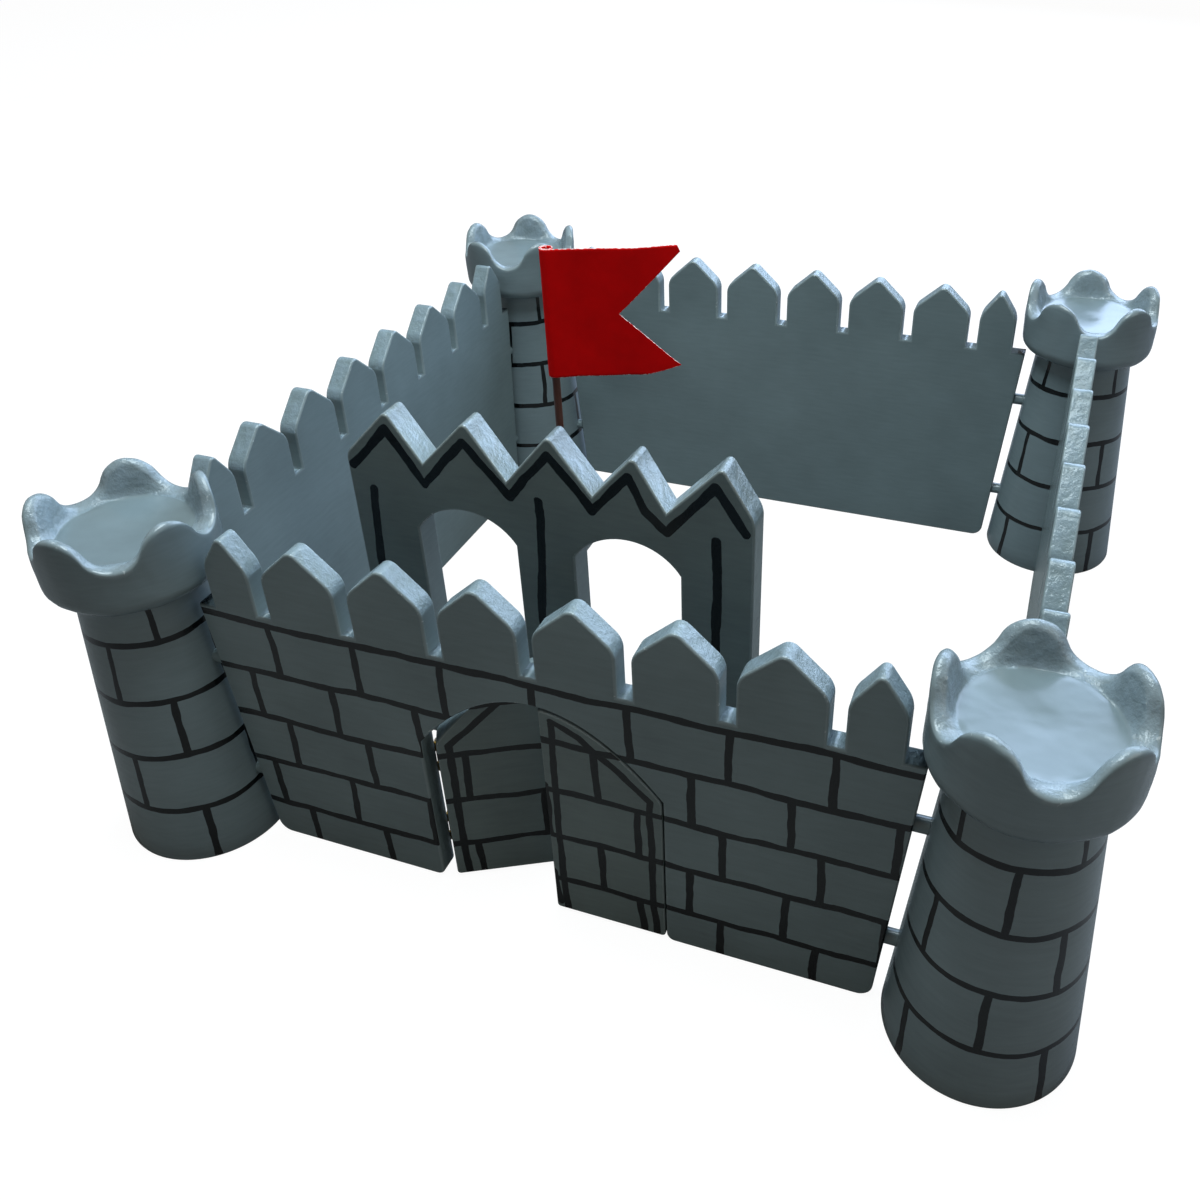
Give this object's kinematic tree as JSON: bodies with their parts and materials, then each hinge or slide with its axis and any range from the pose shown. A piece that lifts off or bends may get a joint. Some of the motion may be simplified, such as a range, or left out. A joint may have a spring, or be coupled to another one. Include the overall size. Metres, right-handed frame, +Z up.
{
  "type": "wooden toy castle",
  "caption": "Toy castle of grey enamelled wood: pointed battlement boards plugged between turned towers, a hinged gate, an inner arcade and a red flag.",
  "frame": {"origin": "centre of the square yard on the ground, which is the middle of the castle's outline seen from above", "axes": "+Z up, -Y out through the gate, +X to the right of someone facing the gate"},
  "size_m": [0.5382, 0.5382, 0.317],
  "materials": {
    "tower_enamel": "gloss enamel, hand brushed, with painted joint lines",
    "board_enamel": "gloss enamel, hand brushed, with painted joint lines",
    "leaf_enamel": "gloss enamel, hand brushed, with painted joint lines",
    "arcade_enamel": "gloss enamel, hand brushed, with painted joint lines",
    "dowel_wood": "grey enamel over birch dowel",
    "hinge_brass": "dull brass",
    "pin_steel": "plain wire",
    "screw_steel": "dull brass",
    "pole_wood": "stained dark brown",
    "flag_cloth": "painted cotton, white raw edges"
  },
  "bodies": {
    "castle": {"tower_front_left": "tower_enamel", "tower_front_right": "tower_enamel", "tower_back_right": "tower_enamel", "tower_back_left": "tower_enamel", "wall_front": "board_enamel", "wall_right": "board_enamel", "wall_back": "board_enamel", "wall_left": "board_enamel", "dowel_front_left_upper": "dowel_wood", "dowel_front_left_lower": "dowel_wood", "dowel_front_right_upper": "dowel_wood", "dowel_front_right_lower": "dowel_wood", "dowel_back_left_upper": "dowel_wood", "dowel_back_left_lower": "dowel_wood", "dowel_back_right_upper": "dowel_wood", "dowel_back_right_lower": "dowel_wood", "dowel_left_front_upper": "dowel_wood", "dowel_left_front_lower": "dowel_wood", "dowel_left_back_upper": "dowel_wood", "dowel_left_back_lower": "dowel_wood", "dowel_right_front_upper": "dowel_wood", "dowel_right_front_lower": "dowel_wood", "dowel_right_back_upper": "dowel_wood", "dowel_right_back_lower": "dowel_wood", "arcade_screen": "arcade_enamel", "arcade_rear_batten": "arcade_enamel", "flag_pole": "pole_wood", "flag": "flag_cloth", "hinge_wall_left_upper": "hinge_brass", "hinge_pin_left_upper": "pin_steel", "hinge_wall_left_lower": "hinge_brass", "hinge_pin_left_lower": "pin_steel", "screws_wall_left": "screw_steel", "hinge_wall_right_upper": "hinge_brass", "hinge_pin_right_upper": "pin_steel", "hinge_wall_right_lower": "hinge_brass", "hinge_pin_right_lower": "pin_steel", "screws_wall_right": "screw_steel"},
    "gate_left": {"gate_leaf_left": "leaf_enamel", "hinge_leaf_left_upper": "hinge_brass", "hinge_leaf_left_lower": "hinge_brass", "screws_leaf_left": "screw_steel"},
    "gate_right": {"gate_leaf_right": "leaf_enamel", "hinge_leaf_right_upper": "hinge_brass", "hinge_leaf_right_lower": "hinge_brass", "screws_leaf_right": "screw_steel"}
  },
  "joints": [
    {"name": "gate_left_hinge", "type": "hinge", "parent": "castle", "child": "gate_left", "pos_m": [-0.0647, -0.2142, 0.05], "axis": [0, 0, 1], "range_deg": [-28, 72]},
    {"name": "gate_right_hinge", "type": "hinge", "parent": "castle", "child": "gate_right", "pos_m": [0.0647, -0.2142, 0.05], "axis": [0, 0, -1], "range_deg": [0, 100]}
  ]
}
